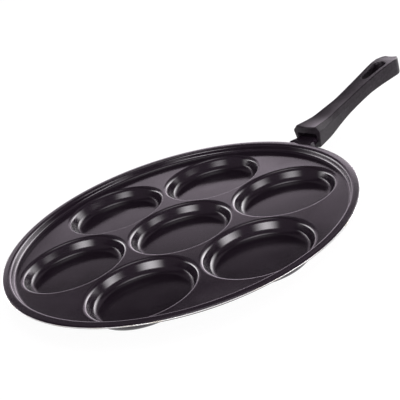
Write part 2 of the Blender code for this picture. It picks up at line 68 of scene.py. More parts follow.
# %% [markdown]
# Finishes, lights and most of the pieces are trees of nodes. So that the sums in them stay readable, a number on
# its way through a tree is wrapped in a small class that knows plus, minus, times and the angle functions, and
# adds the Math node for each. A few helpers add a node and feed its inputs, by name or in order.

# %% Sums inside a node tree


class Number:
    def __init__(self, tree, source):
        self.tree = tree
        self.source = source

    def through(self, operation, *others):
        return Number(self.tree, in_order(self.tree, "ShaderNodeMath", {"operation": operation}, self, *others))

    __add__ = partialmethod(through, "ADD")
    __sub__ = partialmethod(through, "SUBTRACT")
    __mul__ = partialmethod(through, "MULTIPLY")
    __truediv__ = partialmethod(through, "DIVIDE")
    sin = partialmethod(through, "SINE")
    cos = partialmethod(through, "COSINE")
    tan = partialmethod(through, "TANGENT")


def feed(tree, value, socket):
    """Links a number or a node's output to a socket, or sets the socket to a plain value."""
    if isinstance(value, Number):
        value = value.source
    if isinstance(value, bpy.types.NodeSocket):
        tree.links.new(value, socket)
    else:
        socket.default_value = value


def add_node(tree, kind, settings=None, **inputs):
    """A node with its settings, and its inputs fed by name with _ for each space."""
    node = tree.nodes.new(kind)
    for name, value in (settings or {}).items():
        setattr(node, name, value)
    for name, value in inputs.items():
        feed(tree, value, node.inputs[name.replace("_", " ")])
    return node


def output_of(tree, kind, settings=None, **inputs):
    """The first output of such a node."""
    return add_node(tree, kind, settings, **inputs).outputs[0]


def in_order(tree, kind, settings, *values):
    """The first output of a node whose inputs are fed in order, for kinds that give two inputs one name."""
    node = add_node(tree, kind, settings)
    for socket, value in zip(node.inputs, values):
        feed(tree, value, socket)
    return node.outputs[0]


def vector_of(tree, x, y, z=0.0):
    return output_of(tree, "ShaderNodeCombineXYZ", X=x, Y=y, Z=z)


def parts_of(tree, vector):
    """A vector's x, y and z as numbers."""
    split = add_node(tree, "ShaderNodeSeparateXYZ", Vector=vector)
    return [Number(tree, part) for part in split.outputs]


# %% [markdown]
# A finish is a small tree of shader nodes. Every piece lies with its object at the origin, so Object coordinates
# are plain metres, and a pattern keeps its real size on each piece. The numbers that are the same all over are
# set straight on the sockets of the Principled shader. Colour, roughness and bumps each follow a grain, which is
# noise of one size, and a finish says which.

# %% Helpers for materials


def noise_in_metres(tree, size, detail, stretch=(1.0, 1.0, 1.0)):
    """Noise whose blotches are about the given size on the piece."""
    place = add_node(tree, "ShaderNodeTexCoord").outputs["Object"]
    stretched = output_of(tree, "ShaderNodeMapping", Vector=place, Scale=stretch)
    return output_of(tree, "ShaderNodeTexNoise", Vector=stretched, Scale=1.0 / size, Detail=detail)


def spread(tree, value, low, high, start=0.3, end=0.7):
    """The value's range from start to end, mapped to low to high."""
    ends = {"From_Min": start, "From_Max": end, "To_Min": low, "To_Max": high}
    return Number(tree, output_of(tree, "ShaderNodeMapRange", Value=value, **ends))


def ramp_of(tree, value, stops):
    """A colour by the value, through (position, colour) stops."""
    ramp = add_node(tree, "ShaderNodeValToRGB", Fac=value)
    elements = ramp.color_ramp.elements
    while len(elements) < len(stops):
        elements.new(0.9)
    for element, (position, colour) in zip(elements, stops):
        element.position = position
        element.color = (*colour, 1.0)
    return ramp.outputs[0]


def new_finish(name, tones, rough, depth, grains, stops=(0.3, 0.7), **uniform):
    """A material with two tones, a range of roughness and bumps of a depth, each over its own grain.

    Grains are given as noise_in_metres takes them, and uniform values by the socket, such as metallic.
    """
    material = bpy.data.materials.new(name)
    material.use_nodes = True
    tree = material.node_tree
    shader = tree.nodes["Principled BSDF"]
    for socket, value in uniform.items():
        shader.inputs[socket.replace("_", " ").title().replace("Ior", "IOR")].default_value = value
    tone_grain, sheen_grain, bump_grain = (noise_in_metres(tree, *grain) for grain in grains)
    feed(tree, ramp_of(tree, tone_grain, list(zip(stops, tones))), shader.inputs["Base Color"])
    feed(tree, spread(tree, sheen_grain, *rough), shader.inputs["Roughness"])
    bump = output_of(tree, "ShaderNodeBump", Distance=depth, Height=bump_grain)
    feed(tree, bump, shader.inputs["Normal"])
    return material


# %% [markdown]
# The pan's non-stick coat is sprayed on and baked. It is nearly black with a plum cast, satin, and a little
# uneven: the spray leaves a fine orange peel and faint clouds. The clouds go into the colour and the roughness,
# and the peel into the bump.

# %% The non-stick coat
CLOUDS = (18 * MM, 3.0)
PEEL = (1.1 * MM, 2.0)
coat = {
    "tones": ((0.0128, 0.0080, 0.0132), (0.0162, 0.0106, 0.0166)),
    "rough": (0.145, 0.175),
    "grains": (CLOUDS, CLOUDS, PEEL),
}
pan_coat = new_finish("nonstick_coat", depth=0.0025 * MM, specular_tint=(1.0, 0.96, 1.0, 1.0), **coat)
bracket_coat = new_finish("bracket_coat", depth=0.006 * MM, specular_tint=(1.0, 0.92, 1.0, 1.0), **coat)
print("coats:", pan_coat.name, bracket_coat.name)

# %% [markdown]
# The sheet is trimmed after it is coated, so the cut face shows bare steel. It has the fine lines that the
# trimming leaves across it, and a little brown where the heat of the oven and the wash have got at it. The lines
# are noise that is stretched along the height.

# %% Bare steel at the trimmed edge
STAIN = (14 * MM, 2.0)
LINES = (0.3 * MM, 2.0, (1.0, 1.0, 0.2))
cut_steel = new_finish(
    "cut_steel",
    tones=((0.62, 0.57, 0.50), (0.86, 0.85, 0.85)),
    rough=(0.22, 0.40),
    depth=0.01 * MM,
    grains=(STAIN, LINES, LINES),
    stops=(0.30, 0.50),
    metallic=1.0,
)
print("bare steel:", cut_steel.name)

# %% [markdown]
# The handle is phenolic moulding: black, rougher than the coat and with less of a shine, with a faint mottle from
# the filler in the resin and a fine matte bloom from the mould.

# %% Moulded phenolic
MOTTLE = (2.5 * MM, 4.0)
BLOOM = (0.35 * MM, 3.0)
phenolic = new_finish(
    "phenolic",
    tones=((0.0052, 0.0034, 0.0053), (0.0200, 0.0150, 0.0202)),
    rough=(0.34, 0.46),
    depth=0.008 * MM,
    grains=(MOTTLE, BLOOM, BLOOM),
    specular_tint=(1.0, 0.94, 1.0, 1.0),
    specular_ior_level=0.26,
)
print("moulding:", phenolic.name)

# %% [markdown]
# The three metals of the fixing differ in colour and in the marks that their making leaves: turned rings on the
# brass insert, a bright, slightly cloudy zinc plate on the screw, and drawn spring steel for the washer.

# %% Metals of the fixing
ROUND_THE_PIECE = (1.0, 1.0, 4.0)
MARK_DETAIL = 3.0
MARK_DEPTH = 0.006 * MM
ROUGHER = 0.12


def new_metal(name, tones, grain, rough):
    """A metal whose marks run round the piece, in its colour, its roughness and its bumps."""
    marks = (grain, MARK_DETAIL, ROUND_THE_PIECE)
    return new_finish(name, tones, (rough, rough + ROUGHER), MARK_DEPTH, (marks, marks, marks), metallic=1.0)


brass = new_metal("brass", ((0.60, 0.42, 0.16), (0.72, 0.53, 0.22)), 0.5 * MM, 0.24)
zinc_plate = new_metal("zinc_plate", ((0.56, 0.57, 0.60), (0.68, 0.69, 0.70)), 1.2 * MM, 0.22)
spring_steel = new_metal("spring_steel", ((0.36, 0.36, 0.37), (0.46, 0.46, 0.47)), 0.4 * MM, 0.30)
print("metals:", brass.name, zinc_plate.name, spring_steel.name)

# %% Objects and their plain meshes


def in_scene(name, data):
    """A new object with this data, linked to the scene."""
    thing = bpy.data.objects.new(name, data)
    bpy.context.scene.collection.objects.link(thing)
    return thing


def plain_mesh(thing):
    """The object's mesh with its modifiers worked in."""
    graph = bpy.context.evaluated_depsgraph_get()
    return bpy.data.meshes.new_from_object(thing.evaluated_get(graph), depsgraph=graph)


# %% [markdown]
# Geometry Nodes make the pieces that follow a rule. A tree takes its sizes as named inputs, its dials, and works
# the rest out of them. One helper opens a tree, gives it its dials in order, and hands them back as numbers. Its
# partner puts the tree on an empty mesh, sets the dials by their identifiers, and turns the result into a plain
# mesh object.

# %% Opening a tree and using it
KINDS = {float: "NodeSocketFloat", int: "NodeSocketInt", bpy.types.Material: "NodeSocketMaterial"}


def open_tree(name, dials):
    """A new tree with one named input for each dial, whose values give the kinds of socket."""
    tree = bpy.data.node_groups.new(name, "GeometryNodeTree")
    for dial, value in dials.items():
        tree.interface.new_socket(dial, in_out="INPUT", socket_type=KINDS[type(value)])
    tree.interface.new_socket("Mesh", in_out="OUTPUT", socket_type="NodeSocketGeometry")
    given = tree.nodes.new("NodeGroupInput")
    numbers = {}
    for dial, value in dials.items():
        source = given.outputs[dial]
        numbers[dial] = Number(tree, source) if isinstance(value, (int, float)) else source
    return tree, numbers


def close_tree(tree, geometry, finish, bare=None, bare_where=None):
    """Ends the tree: instances made real, the finish on everything, and a second one where the attribute says."""
    ended = output_of(tree, "GeometryNodeRealizeInstances", Geometry=geometry)
    ended = output_of(tree, "GeometryNodeSetMaterial", Geometry=ended, Material=finish)
    if bare:
        where = output_of(tree, "GeometryNodeInputNamedAttribute", {"data_type": "BOOLEAN"}, Name=bare_where)
        ended = output_of(tree, "GeometryNodeSetMaterial", Geometry=ended, Selection=where, Material=bare)
    add_node(tree, "NodeGroupOutput", Mesh=ended)


def made_by(tree, name, dials):
    """A plain mesh object that the tree makes with these dials."""
    maker = in_scene(name + "_maker", bpy.data.meshes.new(name + "_maker"))
    modifier = maker.modifiers.new(tree.name, "NODES")
    modifier.node_group = tree
    for item in tree.interface.items_tree:
        if item.in_out == "INPUT":
            modifier[item.identifier] = dials[item.name]
    mesh = plain_mesh(maker)
    maker.modifiers.remove(modifier)
    bpy.data.objects.remove(maker)
    mesh.name = name
    if mesh.materials[0] is None:
        own = [polygon.material_index for polygon in mesh.polygons]
        mesh.materials.pop(index=0)
        mesh.polygons.foreach_set("material_index", [max(index - 1, 0) for index in own])
    print(name, len(mesh.polygons), "faces,", [material.name for material in mesh.materials])
    return in_scene(name, mesh)


# %% Steps that many trees take
MERGE_WITHIN = 0.004 * MM


def joined(tree, parts):
    """The parts as one geometry. They go in last first, because the socket stacks them."""
    node = tree.nodes.new("GeometryNodeJoinGeometry")
    for part in reversed(parts):
        tree.links.new(part, node.inputs[0])
    return node.outputs[0]


def merged(tree, geometry):
    return output_of(tree, "GeometryNodeMergeByDistance", Geometry=geometry, Distance=MERGE_WITHIN)


def moved(tree, geometry, x, z):
    return output_of(tree, "GeometryNodeTransform", Geometry=geometry, Translation=vector_of(tree, x, 0.0, z))


def circle_of(tree, count, radius):
    return output_of(tree, "GeometryNodeCurvePrimitiveCircle", Resolution=count, Radius=radius)


# %% [markdown]
# Most of this pan is turned work: each well, the rim and the screw are a line spun round an upright axis. The
# spin is a grid whose columns go round and whose rows follow the line. The line's corners are filleted first, as
# the press leaves them. Going round clockwise puts the outside on the left of the line.

# %% Lines with rounded corners, and their spin
JUST_OVER = 0.0001


def rounded_line(tree, corners, fillets, steps):
    """A curve through (radius, height) corners in the XY plane, with a fillet at each inner corner."""
    index = output_of(tree, "GeometryNodeInputIndex")
    places = add_node(tree, "GeometryNodeIndexSwitch", {"data_type": "VECTOR"}, Index=index)
    radii = add_node(tree, "GeometryNodeIndexSwitch", {"data_type": "FLOAT"}, Index=index)
    while len(places.index_switch_items) < len(corners):
        places.index_switch_items.new()
        radii.index_switch_items.new()
    for k, (corner, fillet) in enumerate(zip(corners, [0.0, *fillets, 0.0])):
        feed(tree, vector_of(tree, *corner), places.inputs[k + 1])
        feed(tree, fillet, radii.inputs[k + 1])
    line = output_of(tree, "GeometryNodeMeshLine", Count=len(corners))
    line = output_of(tree, "GeometryNodeSetPosition", Geometry=line, Position=places.outputs[0])
    curve = output_of(tree, "GeometryNodeMeshToCurve", Mesh=line)
    rounding = {"Radius": radii.outputs[0], "Count": steps}
    return output_of(tree, "GeometryNodeFilletCurve", {"mode": "POLY"}, Curve=curve, **rounding)


def spun(tree, line, segments):
    """The mesh of a line turned round the Z axis."""
    count = Number(tree, output_of(tree, "GeometryNodeAttributeDomainSize", {"component": "CURVE"}, Geometry=line))
    grid = output_of(tree, "GeometryNodeMeshGrid", Vertices_X=segments + 1, Vertices_Y=count)
    index = Number(tree, output_of(tree, "GeometryNodeInputIndex"))
    column = (index / count + JUST_OVER).through("FLOOR")
    sample = output_of(
        tree,
        "GeometryNodeSampleIndex",
        {"data_type": "FLOAT_VECTOR", "domain": "POINT"},
        Geometry=line,
        Value=output_of(tree, "GeometryNodeInputPosition"),
        Index=index - column * count,
    )
    radius, height, _ = parts_of(tree, sample)
    angle = column / segments * (-2 * math.pi)
    place = vector_of(tree, radius * angle.cos(), radius * angle.sin(), height)
    return output_of(tree, "GeometryNodeSetPosition", Geometry=grid, Position=place)


# %% [markdown]
# A pressed sheet is one line with a thickness. Its underside runs parallel to its upper side, so a corner
# moves by the thickness across the mean of its two directions, and a fillet grows inside a bend and shrinks
# outside one.

# %% The underside of a pressed line


def underside(corner, before, after, fillet, thickness, convex):
    """The corner and the fillet below them, where the line's direction turns from before to after."""
    middle = (before + after) / 2
    shift = thickness / ((after - before) / 2).cos()
    radius, height = corner
    lower = (middle.sin() * shift + radius, middle.cos() * shift * -1 + height)
    return lower, (fillet - thickness if convex else fillet + thickness)


# %% [markdown]
# The pan body is the main piece, and it follows a rule: seven equal wells on a centre and a ring, a flat web
# between them and a rim round it all. It could be one bmesh script, but a tree shows the rule itself: a well is
# drawn once and placed seven times, circles of the same count bound the web, and Fill Curve makes the web with
# seven holes. A narrow flat band beside every fillet keeps the flat faces' shading flat.

# %% The dials of the pressed pan
pan_dials = {
    "Sheet": SHEET,
    "Wells around": 6,
    "Ring radius": RING_RADIUS,
    "Well radius": WELL_RADIUS,
    "Well depth": WELL_DEPTH,
    "Well wall lean": math.radians(20),
    "Well lip fillet": 3.5 * MM,
    "Well floor fillet": 5.5 * MM,
    "Web radius": WEB_RADIUS,
    "Rim height": 6.25 * MM,
    "Rim wall lean": RIM_WALL_LEAN,
    "Rim foot fillet": 2.5 * MM,
    "Rim crest fillet": 2.2 * MM,
    "Flange width": 5.9 * MM,
    "Flange fall": 0.36 * MM,
    "Edge run": 1.1 * MM,
    "Edge drop": 1.05 * MM,
    "Edge fillet": 1.5 * MM,
    "Edge cut lean": math.radians(15),
    "Cut corner": 0.15 * MM,
    "Bare share of the cut": 0.52,
    "Flat band": 0.12 * MM,
    "Well segments": 128,
    "Rim segments": 360,
    "Coat": pan_coat,
    "Steel": cut_steel,
}
pan_tree, dial = open_tree("Pressed pan", pan_dials)
SHEET_STEPS = 8
CUT_STEPS = 4

# %% A well, drawn once
LEVEL = Number(pan_tree, output_of(pan_tree, "ShaderNodeValue"))
LEVEL.source.default_value = 0.0


def well_lines(tree, d):
    """Upper and lower side of a well as rounded lines from its middle outwards, and where they end."""
    sheet, depth = d["Sheet"], d["Well depth"]
    floor_fillet, lip_fillet = d["Well floor fillet"], d["Well lip fillet"]
    steep = d["Well wall lean"] * -1 + math.pi / 2
    web = depth + sheet
    lip_x = d["Well radius"] - lip_fillet * (steep / 2).tan()
    foot_x = lip_x - depth * d["Well wall lean"].tan()
    foot = (foot_x, sheet)
    lip = (lip_x, web)
    end = d["Well radius"] + d["Flat band"]
    foot_low, foot_round = underside(foot, LEVEL, steep, floor_fillet, sheet, False)
    lip_low, lip_round = underside(lip, steep, LEVEL, lip_fillet, sheet, True)
    inner = foot_x - floor_fillet
    upper = [(0.0, sheet), (inner, sheet), foot, lip, (end, web)]
    lower = [(end, depth), lip_low, foot_low, (inner, 0.0), (0.0, 0.0)]
    return (
        rounded_line(tree, upper, [0.0, floor_fillet, lip_fillet], SHEET_STEPS),
        rounded_line(tree, lower, [lip_round, foot_round, 0.0], SHEET_STEPS),
        end,
    )


upper_line, lower_line, mouth_radius = well_lines(pan_tree, dial)
one_well = joined(pan_tree, [spun(pan_tree, line, dial["Well segments"]) for line in (upper_line, lower_line)])

# %% Seven places, and the circles that bound the web


def well_places(tree, d):
    ring = output_of(tree, "GeometryNodeMeshCircle", Vertices=d["Wells around"], Radius=d["Ring radius"])
    turn = vector_of(tree, 0.0, 0.0, d["Wells around"].through("POWER", -1.0) * math.pi)
    turned = output_of(tree, "GeometryNodeTransform", Geometry=ring, Rotation=turn)
    return joined(tree, [output_of(tree, "GeometryNodeMeshLine", Count=1), turned])


def placed(tree, places, shape):
    on_points = output_of(tree, "GeometryNodeInstanceOnPoints", Points=places, Instance=shape)
    return output_of(tree, "GeometryNodeRealizeInstances", Geometry=on_points)


places = well_places(pan_tree, dial)
wells = placed(pan_tree, places, one_well)
mouths = placed(pan_tree, places, circle_of(pan_tree, dial["Well segments"], mouth_radius))
bound = circle_of(pan_tree, dial["Rim segments"], dial["Web radius"])
web = output_of(pan_tree, "GeometryNodeFillCurve", {"mode": "TRIANGLES"}, Curve=joined(pan_tree, [bound, mouths]))

# %% [markdown]
# The rim's line runs from the web up the low wall, over the flange and down to the trimmed edge, across the cut
# and back underneath. The cut is a line of its own, so it can be bare steel: the coat stops just short of it
# above, and reaches over its lower half, as the dark lip under the bright line shows.

# %% The rim in three lines


def rim_lines(tree, d):
    sheet, start, under_web = d["Sheet"], d["Web radius"], d["Well depth"]
    wall = d["Rim wall lean"] * -1 + math.pi / 2
    drop = d["Edge drop"] - d["Flange fall"]
    fall = (d["Flange fall"] / d["Flange width"]).through("ARCTANGENT") * -1
    dip = (drop / d["Edge run"]).through("ARCTANGENT") * -1
    web = under_web + sheet
    top = web + d["Rim height"]
    foot_x = start + d["Rim foot fillet"] * (wall / 2).tan()
    crest_x = foot_x + d["Rim height"] * d["Rim wall lean"].tan()
    shoulder_x = crest_x + d["Flange width"]
    foot = (foot_x, web)
    crest = (crest_x, top)
    shoulder = (shoulder_x, top - d["Flange fall"])
    edge = (shoulder_x + d["Edge run"], top - d["Edge drop"])
    foot_low, foot_round = underside(foot, LEVEL, wall, d["Rim foot fillet"], sheet, False)
    crest_low, crest_round = underside(crest, wall, fall, d["Rim crest fillet"], sheet, True)
    shoulder_low, shoulder_round = underside(shoulder, fall, dip, d["Edge fillet"], sheet, True)
    slant = sheet * (dip * -1 - d["Edge cut lean"]).tan()
    lip = (
        dip.sin() * sheet + dip.cos() * slant + edge[0],
        dip.cos() * sheet * -1 + dip.sin() * slant + edge[1],
    )

    def short_of(corner):
        """The place on the sheet's face where the rounding of a corner of the cut has to be over."""
        back = d["Cut corner"] * 2
        return corner[0] - dip.cos() * back, corner[1] - dip.sin() * back

    coat_end = tuple(a + (b - a) * d["Bare share of the cut"] for a, b in zip(edge, lip))
    band = start + d["Flat band"]
    upper = [(start, web), (band, web), foot, crest, shoulder, short_of(edge)]
    upper_fillets = [0.0, d["Rim foot fillet"], d["Rim crest fillet"], d["Edge fillet"]]
    lower = [coat_end, lip, short_of(lip), shoulder_low, crest_low, foot_low, (band, under_web), (start, under_web)]
    lower_fillets = [d["Cut corner"], 0.0, shoulder_round, crest_round, foot_round, 0.0]
    return (
        rounded_line(tree, upper, upper_fillets, SHEET_STEPS),
        rounded_line(tree, [short_of(edge), edge, coat_end], [d["Cut corner"]], CUT_STEPS),
        rounded_line(tree, lower, lower_fillets, SHEET_STEPS),
    )


over, cut, under = rim_lines(pan_tree, dial)
rim_coated = joined(pan_tree, [spun(pan_tree, line, dial["Rim segments"]) for line in (over, under)])
rim_cut = spun(pan_tree, cut, dial["Rim segments"])

# %% The web's two sides, and everything as one sheet
web_above = moved(pan_tree, web, 0.0, dial["Well depth"] + dial["Sheet"])
web_below = output_of(pan_tree, "GeometryNodeFlipFaces", Mesh=moved(pan_tree, web, 0.0, dial["Well depth"]))
bare_cut = output_of(
    pan_tree,
    "GeometryNodeStoreNamedAttribute",
    {"data_type": "BOOLEAN", "domain": "FACE"},
    Geometry=rim_cut,
    Name="bare",
    Value=True,
)
one_sheet = merged(pan_tree, joined(pan_tree, [wells, web_above, web_below, rim_coated, bare_cut]))
smooth = output_of(pan_tree, "GeometryNodeSetShadeSmooth", {"domain": "FACE"}, Geometry=one_sheet)
close_tree(pan_tree, smooth, dial["Coat"], dial["Steel"], "bare")
pressed_pan = made_by(pan_tree, "pressed_pan", pan_dials)
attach(pressed_pan, "root")
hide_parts("pan_body")

# %% [markdown]
# The handle is one phenolic moulding. Its form was chosen by a hand that holds it, not by a rule, so it is a loft
# in mesh code: eight named sections, and a smooth curve through each of their sizes. A section is a bar with a
# hollow top, sides that widen down to a crease and close in to a rounded foot. All heights are from the upper
# side of the tongue inside the handle, and reaches are from the head's front face.

# %% Sections of the handle
HEAD_FRONT = 148.0 * MM
TONGUE_TOP = 16.09 * MM
Section = namedtuple("Section", "reach top_half side_half foot_half top crease foot")
SECTIONS = [
    Section(*(size * MM for size in row))
    for row in (
        (0.0, 10.5, 14.8, 12.0, 9.4, 5.0, -9.0),
        (19.0, 8.7, 11.4, 9.3, 9.2, 5.6, -7.2),
        (34.0, 8.0, 9.0, 8.0, 11.1, 6.4, -3.4),
        (50.0, 7.45, 7.75, 7.3, 13.3, 8.0, 0.5),
        (76.0, 8.1, 8.3, 7.9, 18.2, 12.6, 5.8),
        (92.0, 9.15, 9.35, 8.95, 21.0, 14.8, 7.7),
        (106.0, 10.5, 10.6, 10.3, 23.0, 16.2, 8.7),
        (114.2, 10.8, 10.9, 10.6, 23.6, 16.6, 8.9),
    )
]
TAIL = SECTIONS[-1]


def section_at(reach):
    """The section at a reach, each size on a smooth curve through the named ones."""
    reach = min(max(reach, SECTIONS[0].reach), TAIL.reach)
    i = max(k for k in range(len(SECTIONS) - 1) if SECTIONS[k].reach <= reach)
    span = SECTIONS[i + 1].reach - SECTIONS[i].reach
    t = (reach - SECTIONS[i].reach) / span

    def slope(k, size):
        before = SECTIONS[max(k - 1, 0)]
        after = SECTIONS[min(k + 1, len(SECTIONS) - 1)]
        return (getattr(after, size) - getattr(before, size)) / (after.reach - before.reach)

    sizes = []
    for size in Section._fields[1:]:
        a = getattr(SECTIONS[i], size)
        b = getattr(SECTIONS[i + 1], size)
        leave = slope(i, size) * span
        arrive = slope(i + 1, size) * span
        sizes.append(a + leave * t + (3 * (b - a) - 2 * leave - arrive) * t**2 + (2 * (a - b) + leave + arrive) * t**3)
    return Section(reach, *sizes)


print("halfway along, the handle is", round(2 * section_at(60 * MM).side_half / MM, 1), "mm wide")

# %% [markdown]
# Corners in mesh code are rounded by the same rule as in the trees: an arc that touches both runs. One helper
# serves the handle's sections, its mouth and the bracket.

# %% Rounded outlines in mesh code


def quarter_turned(v):
    return Vector((-v.y, v.x))


def filleted(corners, radii, steps=6):
    """Points along the runs between (y, z) corners with an arc at each inner one, and their left-hand normals."""
    corners = [Vector(corner) for corner in corners]
    runs = [(b - a).normalized() for a, b in zip(corners, corners[1:])]
    out = [(corners[0], quarter_turned(runs[0]))]
    for corner, before, after, radius in zip(corners[1:], runs, runs[1:], radii):
        turn = math.atan2(before.x * after.y - before.y * after.x, before.dot(after))
        side = math.copysign(radius, turn)
        normal = quarter_turned(before)
        middle = corner - before * radius * math.tan(abs(turn) / 2) + normal * side
        for step in range(steps + 1 if radius else 1):
            part = turn * (step / steps if radius else 0.5)
            c, s = math.cos(part), math.sin(part)
            tilted = Vector((normal.x * c - normal.y * s, normal.x * s + normal.y * c))
            out.append(((middle if radius else corner) - tilted * side, tilted))
    out.append((corners[-1], quarter_turned(runs[-1])))
    return out


def closed_outline(corners, radii):
    """The points round a closed outline, with an arc at each corner."""
    return [p for p, _ in filleted([corners[-1], *corners, corners[0]], radii)[1:-1]]


def pushed(samples, distance):
    """The points moved to the right of their line."""
    return [p - n * distance for p, n in samples]


def circle(x, y, z, radius, count):
    """A ring of points round an upright axis."""
    turns = [2 * math.pi * i / count for i in range(count)]
    return [Vector((x + radius * math.cos(a), y + radius * math.sin(a), z)) for a in turns]


def quarter(steps):
    """Angles from 0 up to, but without, 90 degrees."""
    return [math.pi / 2 * step / steps for step in range(steps)]


# %% [markdown]
# Rings of points become a skin: a band of four-sided faces from ring to ring and a flat face at each end. Cuts are
# Boolean modifiers, taken into a plain mesh at once. The sharp edges that the cuts leave get a narrow bevel,
# because a moulding has no edge that would cut a hand, and weighted normals keep the flats' shading flat.

# %% Skins, cuts and soft edges
BEVEL_STEPS = 2
FLATS_WEIGHT = 60


def skin_of(name, rings):
    """A solid through rings of as many points each."""
    bm = bmesh.new()
    loops = [[bm.verts.new(p) for p in ring] for ring in rings]
    for first, second in zip(loops, loops[1:]):
        for i in range(len(first)):
            j = (i + 1) % len(first)
            bm.faces.new((first[i], first[j], second[j], second[i]))
    bm.faces.new(loops[0])
    bm.faces.new(loops[-1])
    bmesh.ops.recalc_face_normals(bm, faces=bm.faces)
    mesh = bpy.data.meshes.new(name)
    bm.to_mesh(mesh)
    bm.free()
    mesh.shade_smooth()
    return in_scene(name, mesh)


def taken_in(piece):
    """Turns the piece's modifiers into its plain mesh."""
    mesh = plain_mesh(piece)
    piece.modifiers.clear()
    piece.data = mesh


def cut_with(piece, cutters, operation="DIFFERENCE"):
    for cutter in cutters:
        modifier = piece.modifiers.new(cutter.name, "BOOLEAN")
        modifier.operation = operation
        modifier.solver = "EXACT"
        modifier.object = cutter
    taken_in(piece)
    for cutter in cutters:
        bpy.data.objects.remove(cutter)


def soften_edges(piece, width, sharper_than):
    piece.data.shade_smooth()
    bevel = piece.modifiers.new("soft_edges", "BEVEL")
    bevel.width = width
    bevel.segments = BEVEL_STEPS
    bevel.limit_method = "ANGLE"
    bevel.angle_limit = sharper_than
    bevel.use_clamp_overlap = True
    taken_in(piece)
    piece.data.set_sharp_from_angle(angle=sharper_than)
    shading = piece.modifiers.new("shading", "WEIGHTED_NORMAL")
    shading.keep_sharp = True
    shading.weight = FLATS_WEIGHT
    taken_in(piece)


def give_finish(piece, finish):
    """The finish alone, without the empty slots that a Boolean leaves."""
    piece.data.materials.clear()
    piece.data.materials.append(finish)


# %% The rings of the handle
EDGE_ROUNDS = (0.9 * MM, 1.6 * MM, 1.5 * MM)
LARGEST_ROUND = 0.45
HOLLOW_SHARES = (-0.8, -0.6, -0.35, 0.0, 0.35, 0.6, 0.8)
HEAD_DISH = 1.0 * MM
GRIP_DISH = 0.5 * MM
FRONT_ROUND = 1.0 * MM
END_LENGTH = 11.4 * MM
END_ROUND = 3.2 * MM
END_TOP_DROP = 3.8 * MM
END_FOOT_LIFT = 1.8 * MM
END_HALF_WIDTH = 1.6 * MM
THROAT = SECTIONS[2].reach
FRONT_STEPS, GRIP_STEPS, TAIL_STEPS, END_STEPS = 6, 62, 8, 14


def across_handle(reach, outline):
    """The points of an outline as they stand across the handle at a reach."""
    return [Vector((HEAD_FRONT + reach, p.x, TONGUE_TOP + p.y)) for p in outline]


def dish_at(reach):
    return HEAD_DISH + (GRIP_DISH - HEAD_DISH) * min(max(reach / THROAT, 0.0), 1.0)


def handle_ring(section, reach):
    """Points round the handle: across the hollow top, then down one side, along the foot and up the other."""
    half = [(section.top_half, section.top), (section.side_half, section.crease), (section.foot_half, section.foot)]
    hollow = [
        (section.top_half * share, section.top - dish_at(reach) * (1 - share * share)) for share in HOLLOW_SHARES
    ]
    corners = hollow + half + [(-y, z) for y, z in reversed(half)]
    most = section.top_half * LARGEST_ROUND
    rounds = [min(radius, most) for radius in (*EDGE_ROUNDS, *reversed(EDGE_ROUNDS))]
    outline = closed_outline(corners, [0.0] * len(hollow) + rounds)
    return across_handle(reach, outline)


def shrunk(section, inset):
    halves = {size: getattr(section, size) - inset for size in ("top_half", "side_half", "foot_half", "top")}
    return section._replace(**halves, foot=section.foot + inset)


def narrowed(section, share, rounded):
    """The last section, drawn in to a share of its width and rounded off above and below."""
    halves = {size: getattr(section, size) * share for size in ("top_half", "side_half", "foot_half")}
    return section._replace(
        **halves, top=section.top - END_TOP_DROP * rounded, foot=section.foot + END_FOOT_LIFT * rounded
    )


def rings_of_handle():
    rings = []
    for angle in quarter(FRONT_STEPS):
        reach = FRONT_ROUND * (1 - math.cos(angle))
        rings.append(handle_ring(shrunk(section_at(reach), FRONT_ROUND * (1 - math.sin(angle))), reach))
    for step in range(GRIP_STEPS + 1):
        reach = FRONT_ROUND + (TAIL.reach - FRONT_ROUND) * step / GRIP_STEPS
        rings.append(handle_ring(section_at(reach), reach))
    flat = END_LENGTH - END_ROUND
    ends = [(flat * step / TAIL_STEPS, 0.0) for step in range(1, TAIL_STEPS + 1)]
    for step in range(1, END_STEPS + 1):
        angle = math.pi / 2 * step / END_STEPS
        ends.append((flat + END_ROUND * math.sin(angle), 1 - math.cos(angle)))
    for past, rounded in ends:
        share = max(math.sqrt(max(1 - (past / END_LENGTH) ** 2, 0.0)), END_HALF_WIDTH / TAIL.side_half)
        rings.append(handle_ring(narrowed(TAIL, share, rounded), TAIL.reach + past))
    return rings


handle_skin = skin_of("handle_moulding", rings_of_handle())
print("handle skin", len(handle_skin.data.polygons), "faces")

# %% [markdown]
# Three cuts go into the moulding: the mouth that takes the bracket's tongue, with a recess and a lead-in, the
# counterbored hole for the screw with the insert's seat above it, and the hanging slot, a teardrop through the
# grip with a border that slopes in from the top.

# %% Sizes of the tongue and of what holds it
TONGUE_HALF_WIDTH = 9.8 * MM
TIP_HALF_WIDTH = 7.0 * MM
TONGUE_LENGTH = 19.5 * MM
TONGUE_DEPTH = 4.0 * MM
TIP_DEPTH = 2.6 * MM
LEAD_IN = 5.0 * MM
GAP = 0.3 * MM
SCREW_X = HEAD_FRONT + 10.0 * MM
CLEAR_RADIUS = 2.3 * MM
WASHER_SEAT = TONGUE_TOP - TIP_DEPTH - GAP - 1.2 * MM
INSERT_RADIUS = 3.2 * MM
INSERT_LENGTH = 5.0 * MM
INSERT_FOOT = TONGUE_TOP + GAP
print("the screw stands", round(SCREW_X / MM, 1), "mm from the pan's middle")

# %% The mouth
RECESS = 2.0 * MM
MOUTH_ROUND = 0.8 * MM
TIP_ROOM = 0.5 * MM
# The room beside, above and below the tongue.
RECESS_ROOM = (0.7 * MM, 3.2 * MM, 0.7 * MM)
LEAD_IN_ROOM = (0.6 * MM, 2.0 * MM, 0.6 * MM)
SNUG_ROOM = (GAP, GAP, GAP)
